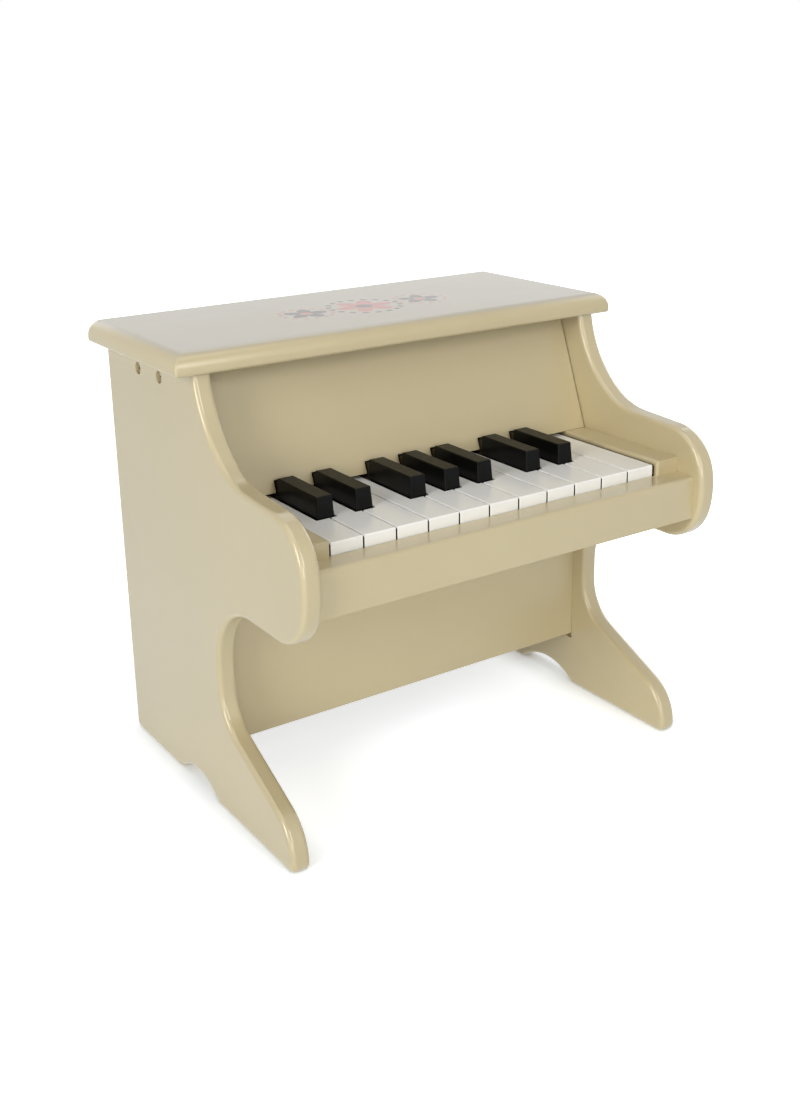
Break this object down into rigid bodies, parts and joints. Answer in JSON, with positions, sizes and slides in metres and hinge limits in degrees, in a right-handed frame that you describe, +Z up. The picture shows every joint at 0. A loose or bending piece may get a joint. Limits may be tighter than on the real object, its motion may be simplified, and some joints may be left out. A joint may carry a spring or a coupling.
{
  "type": "toy piano",
  "caption": "Upright wooden toy piano: painted cabinet with curved sides and an overhanging lid, and sprung keys that throw hammers at tone bars.",
  "frame": {"origin": "on the floor, in the middle of the footprint's bounding box", "axes": "+X to the player's right, +Y from the keyboard to the back, +Z up"},
  "size_m": [0.3232, 0.2468, 0.288],
  "materials": {
    "cabinet_paint": "satin sand-coloured lacquer",
    "bare_wood": "unpainted",
    "white_plastic": "glossy",
    "black_plastic": "satin",
    "action_plastic": "moulded",
    "felt": "felt",
    "steel": "drawn",
    "dark_steel": "blackened",
    "bar_metal": "brushed"
  },
  "bodies": {
    "case": {"left_side": "cabinet_paint", "right_side": "cabinet_paint", "top_lid": "cabinet_paint", "front_board": "cabinet_paint", "key_slip": "cabinet_paint", "left_cheek": "cabinet_paint", "right_cheek": "cabinet_paint", "knee_panel": "cabinet_paint", "back_panel": "cabinet_paint", "key_bed": "cabinet_paint", "bottom_rail": "bare_wood", "lid_cleats": "bare_wood", "rest_rail": "bare_wood", "bar_rails": "bare_wood", "hammer_comb": "action_plastic", "key_felts": "felt", "bar_felts": "felt", "key_rod": "steel", "hammer_rod": "steel", "tone_bars": "bar_metal", "bar_clamp": "bare_wood", "side_screws": "dark_steel"},
    "white_key_01": {"white_key_01": "white_plastic"},
    "hammer_01": {"hammer_01": "action_plastic"},
    "black_key_01": {"black_key_01": "black_plastic"},
    "hammer_02": {"hammer_02": "action_plastic"},
    "white_key_02": {"white_key_02": "white_plastic"},
    "hammer_03": {"hammer_03": "action_plastic"},
    "black_key_02": {"black_key_02": "black_plastic"},
    "hammer_04": {"hammer_04": "action_plastic"},
    "white_key_03": {"white_key_03": "white_plastic"},
    "hammer_05": {"hammer_05": "action_plastic"},
    "white_key_04": {"white_key_04": "white_plastic"},
    "hammer_06": {"hammer_06": "action_plastic"},
    "black_key_03": {"black_key_03": "black_plastic"},
    "hammer_07": {"hammer_07": "action_plastic"},
    "white_key_05": {"white_key_05": "white_plastic"},
    "hammer_08": {"hammer_08": "action_plastic"},
    "black_key_04": {"black_key_04": "black_plastic"},
    "hammer_09": {"hammer_09": "action_plastic"},
    "white_key_06": {"white_key_06": "white_plastic"},
    "hammer_10": {"hammer_10": "action_plastic"},
    "black_key_05": {"black_key_05": "black_plastic"},
    "hammer_11": {"hammer_11": "action_plastic"},
    "white_key_07": {"white_key_07": "white_plastic"},
    "hammer_12": {"hammer_12": "action_plastic"},
    "white_key_08": {"white_key_08": "white_plastic"},
    "hammer_13": {"hammer_13": "action_plastic"},
    "black_key_06": {"black_key_06": "black_plastic"},
    "hammer_14": {"hammer_14": "action_plastic"},
    "white_key_09": {"white_key_09": "white_plastic"},
    "hammer_15": {"hammer_15": "action_plastic"},
    "black_key_07": {"black_key_07": "black_plastic"},
    "hammer_16": {"hammer_16": "action_plastic"},
    "white_key_10": {"white_key_10": "white_plastic"},
    "hammer_17": {"hammer_17": "action_plastic"},
    "white_key_11": {"white_key_11": "white_plastic"},
    "hammer_18": {"hammer_18": "action_plastic"}
  },
  "joints": [
    {"name": "white_key_01_press", "type": "hinge", "parent": "case", "child": "white_key_01", "pos_m": [-0.11246, 0.022, 0.1869], "axis": [1, 0, 0], "range_deg": [0, 3], "stiffness_Nm_per_rad": 0.2, "springref_deg": -6.88},
    {"name": "hammer_01_swing", "type": "hinge", "parent": "case", "child": "hammer_01", "pos_m": [-0.11246, 0.092, 0.1967], "axis": [1, 0, 0], "range_deg": [-23, 0]},
    {"name": "black_key_01_press", "type": "hinge", "parent": "case", "child": "black_key_01", "pos_m": [-0.09949, 0.022, 0.1869], "axis": [1, 0, 0], "range_deg": [0, 3], "stiffness_Nm_per_rad": 0.2, "springref_deg": -6.88},
    {"name": "hammer_02_swing", "type": "hinge", "parent": "case", "child": "hammer_02", "pos_m": [-0.09949, 0.092, 0.1967], "axis": [1, 0, 0], "range_deg": [-23, 0]},
    {"name": "white_key_02_press", "type": "hinge", "parent": "case", "child": "white_key_02", "pos_m": [-0.08651, 0.022, 0.1869], "axis": [1, 0, 0], "range_deg": [0, 3], "stiffness_Nm_per_rad": 0.2, "springref_deg": -6.88},
    {"name": "hammer_03_swing", "type": "hinge", "parent": "case", "child": "hammer_03", "pos_m": [-0.08651, 0.092, 0.1967], "axis": [1, 0, 0], "range_deg": [-23, 0]},
    {"name": "black_key_02_press", "type": "hinge", "parent": "case", "child": "black_key_02", "pos_m": [-0.07353, 0.022, 0.1869], "axis": [1, 0, 0], "range_deg": [0, 3], "stiffness_Nm_per_rad": 0.2, "springref_deg": -6.88},
    {"name": "hammer_04_swing", "type": "hinge", "parent": "case", "child": "hammer_04", "pos_m": [-0.07353, 0.092, 0.1967], "axis": [1, 0, 0], "range_deg": [-23, 0]},
    {"name": "white_key_03_press", "type": "hinge", "parent": "case", "child": "white_key_03", "pos_m": [-0.06056, 0.022, 0.1869], "axis": [1, 0, 0], "range_deg": [0, 3], "stiffness_Nm_per_rad": 0.2, "springref_deg": -6.88},
    {"name": "hammer_05_swing", "type": "hinge", "parent": "case", "child": "hammer_05", "pos_m": [-0.06056, 0.092, 0.1967], "axis": [1, 0, 0], "range_deg": [-23, 0]},
    {"name": "white_key_04_press", "type": "hinge", "parent": "case", "child": "white_key_04", "pos_m": [-0.04789, 0.022, 0.1869], "axis": [1, 0, 0], "range_deg": [0, 3], "stiffness_Nm_per_rad": 0.2, "springref_deg": -6.88},
    {"name": "hammer_06_swing", "type": "hinge", "parent": "case", "child": "hammer_06", "pos_m": [-0.04789, 0.092, 0.1967], "axis": [1, 0, 0], "range_deg": [-23, 0]},
    {"name": "black_key_03_press", "type": "hinge", "parent": "case", "child": "black_key_03", "pos_m": [-0.03553, 0.022, 0.1869], "axis": [1, 0, 0], "range_deg": [0, 3], "stiffness_Nm_per_rad": 0.2, "springref_deg": -6.88},
    {"name": "hammer_07_swing", "type": "hinge", "parent": "case", "child": "hammer_07", "pos_m": [-0.03553, 0.092, 0.1967], "axis": [1, 0, 0], "range_deg": [-23, 0]},
    {"name": "white_key_05_press", "type": "hinge", "parent": "case", "child": "white_key_05", "pos_m": [-0.02317, 0.022, 0.1869], "axis": [1, 0, 0], "range_deg": [0, 3], "stiffness_Nm_per_rad": 0.2, "springref_deg": -6.88},
    {"name": "hammer_08_swing", "type": "hinge", "parent": "case", "child": "hammer_08", "pos_m": [-0.02317, 0.092, 0.1967], "axis": [1, 0, 0], "range_deg": [-23, 0]},
    {"name": "black_key_04_press", "type": "hinge", "parent": "case", "child": "black_key_04", "pos_m": [-0.01081, 0.022, 0.1869], "axis": [1, 0, 0], "range_deg": [0, 3], "stiffness_Nm_per_rad": 0.2, "springref_deg": -6.88},
    {"name": "hammer_09_swing", "type": "hinge", "parent": "case", "child": "hammer_09", "pos_m": [-0.01081, 0.092, 0.1967], "axis": [1, 0, 0], "range_deg": [-23, 0]},
    {"name": "white_key_06_press", "type": "hinge", "parent": "case", "child": "white_key_06", "pos_m": [0.00154, 0.022, 0.1869], "axis": [1, 0, 0], "range_deg": [0, 3], "stiffness_Nm_per_rad": 0.2, "springref_deg": -6.88},
    {"name": "hammer_10_swing", "type": "hinge", "parent": "case", "child": "hammer_10", "pos_m": [0.00154, 0.092, 0.1967], "axis": [1, 0, 0], "range_deg": [-23, 0]},
    {"name": "black_key_05_press", "type": "hinge", "parent": "case", "child": "black_key_05", "pos_m": [0.0139, 0.022, 0.1869], "axis": [1, 0, 0], "range_deg": [0, 3], "stiffness_Nm_per_rad": 0.2, "springref_deg": -6.88},
    {"name": "hammer_11_swing", "type": "hinge", "parent": "case", "child": "hammer_11", "pos_m": [0.0139, 0.092, 0.1967], "axis": [1, 0, 0], "range_deg": [-23, 0]},
    {"name": "white_key_07_press", "type": "hinge", "parent": "case", "child": "white_key_07", "pos_m": [0.02626, 0.022, 0.1869], "axis": [1, 0, 0], "range_deg": [0, 3], "stiffness_Nm_per_rad": 0.2, "springref_deg": -6.88},
    {"name": "hammer_12_swing", "type": "hinge", "parent": "case", "child": "hammer_12", "pos_m": [0.02626, 0.092, 0.1967], "axis": [1, 0, 0], "range_deg": [-23, 0]},
    {"name": "white_key_08_press", "type": "hinge", "parent": "case", "child": "white_key_08", "pos_m": [0.03893, 0.022, 0.1869], "axis": [1, 0, 0], "range_deg": [0, 3], "stiffness_Nm_per_rad": 0.2, "springref_deg": -6.88},
    {"name": "hammer_13_swing", "type": "hinge", "parent": "case", "child": "hammer_13", "pos_m": [0.03893, 0.092, 0.1967], "axis": [1, 0, 0], "range_deg": [-23, 0]},
    {"name": "black_key_06_press", "type": "hinge", "parent": "case", "child": "black_key_06", "pos_m": [0.0519, 0.022, 0.1869], "axis": [1, 0, 0], "range_deg": [0, 3], "stiffness_Nm_per_rad": 0.2, "springref_deg": -6.88},
    {"name": "hammer_14_swing", "type": "hinge", "parent": "case", "child": "hammer_14", "pos_m": [0.0519, 0.092, 0.1967], "axis": [1, 0, 0], "range_deg": [-23, 0]},
    {"name": "white_key_09_press", "type": "hinge", "parent": "case", "child": "white_key_09", "pos_m": [0.06488, 0.022, 0.1869], "axis": [1, 0, 0], "range_deg": [0, 3], "stiffness_Nm_per_rad": 0.2, "springref_deg": -6.88},
    {"name": "hammer_15_swing", "type": "hinge", "parent": "case", "child": "hammer_15", "pos_m": [0.06488, 0.092, 0.1967], "axis": [1, 0, 0], "range_deg": [-23, 0]},
    {"name": "black_key_07_press", "type": "hinge", "parent": "case", "child": "black_key_07", "pos_m": [0.07786, 0.022, 0.1869], "axis": [1, 0, 0], "range_deg": [0, 3], "stiffness_Nm_per_rad": 0.2, "springref_deg": -6.88},
    {"name": "hammer_16_swing", "type": "hinge", "parent": "case", "child": "hammer_16", "pos_m": [0.07786, 0.092, 0.1967], "axis": [1, 0, 0], "range_deg": [-23, 0]},
    {"name": "white_key_10_press", "type": "hinge", "parent": "case", "child": "white_key_10", "pos_m": [0.09083, 0.022, 0.1869], "axis": [1, 0, 0], "range_deg": [0, 3], "stiffness_Nm_per_rad": 0.2, "springref_deg": -6.88},
    {"name": "hammer_17_swing", "type": "hinge", "parent": "case", "child": "hammer_17", "pos_m": [0.09083, 0.092, 0.1967], "axis": [1, 0, 0], "range_deg": [-23, 0]},
    {"name": "white_key_11_press", "type": "hinge", "parent": "case", "child": "white_key_11", "pos_m": [0.1035, 0.022, 0.1869], "axis": [1, 0, 0], "range_deg": [0, 3], "stiffness_Nm_per_rad": 0.2, "springref_deg": -6.88},
    {"name": "hammer_18_swing", "type": "hinge", "parent": "case", "child": "hammer_18", "pos_m": [0.1035, 0.092, 0.1967], "axis": [1, 0, 0], "range_deg": [-23, 0]}
  ],
  "couplings": [
    {"joint": "hammer_01_swing", "follows": "white_key_01_press", "ratio": -7.5},
    {"joint": "hammer_02_swing", "follows": "black_key_01_press", "ratio": -7.5},
    {"joint": "hammer_03_swing", "follows": "white_key_02_press", "ratio": -7.5},
    {"joint": "hammer_04_swing", "follows": "black_key_02_press", "ratio": -7.5},
    {"joint": "hammer_05_swing", "follows": "white_key_03_press", "ratio": -7.5},
    {"joint": "hammer_06_swing", "follows": "white_key_04_press", "ratio": -7.5},
    {"joint": "hammer_07_swing", "follows": "black_key_03_press", "ratio": -7.5},
    {"joint": "hammer_08_swing", "follows": "white_key_05_press", "ratio": -7.5},
    {"joint": "hammer_09_swing", "follows": "black_key_04_press", "ratio": -7.5},
    {"joint": "hammer_10_swing", "follows": "white_key_06_press", "ratio": -7.5},
    {"joint": "hammer_11_swing", "follows": "black_key_05_press", "ratio": -7.5},
    {"joint": "hammer_12_swing", "follows": "white_key_07_press", "ratio": -7.5},
    {"joint": "hammer_13_swing", "follows": "white_key_08_press", "ratio": -7.5},
    {"joint": "hammer_14_swing", "follows": "black_key_06_press", "ratio": -7.5},
    {"joint": "hammer_15_swing", "follows": "white_key_09_press", "ratio": -7.5},
    {"joint": "hammer_16_swing", "follows": "black_key_07_press", "ratio": -7.5},
    {"joint": "hammer_17_swing", "follows": "white_key_10_press", "ratio": -7.5},
    {"joint": "hammer_18_swing", "follows": "white_key_11_press", "ratio": -7.5}
  ]
}
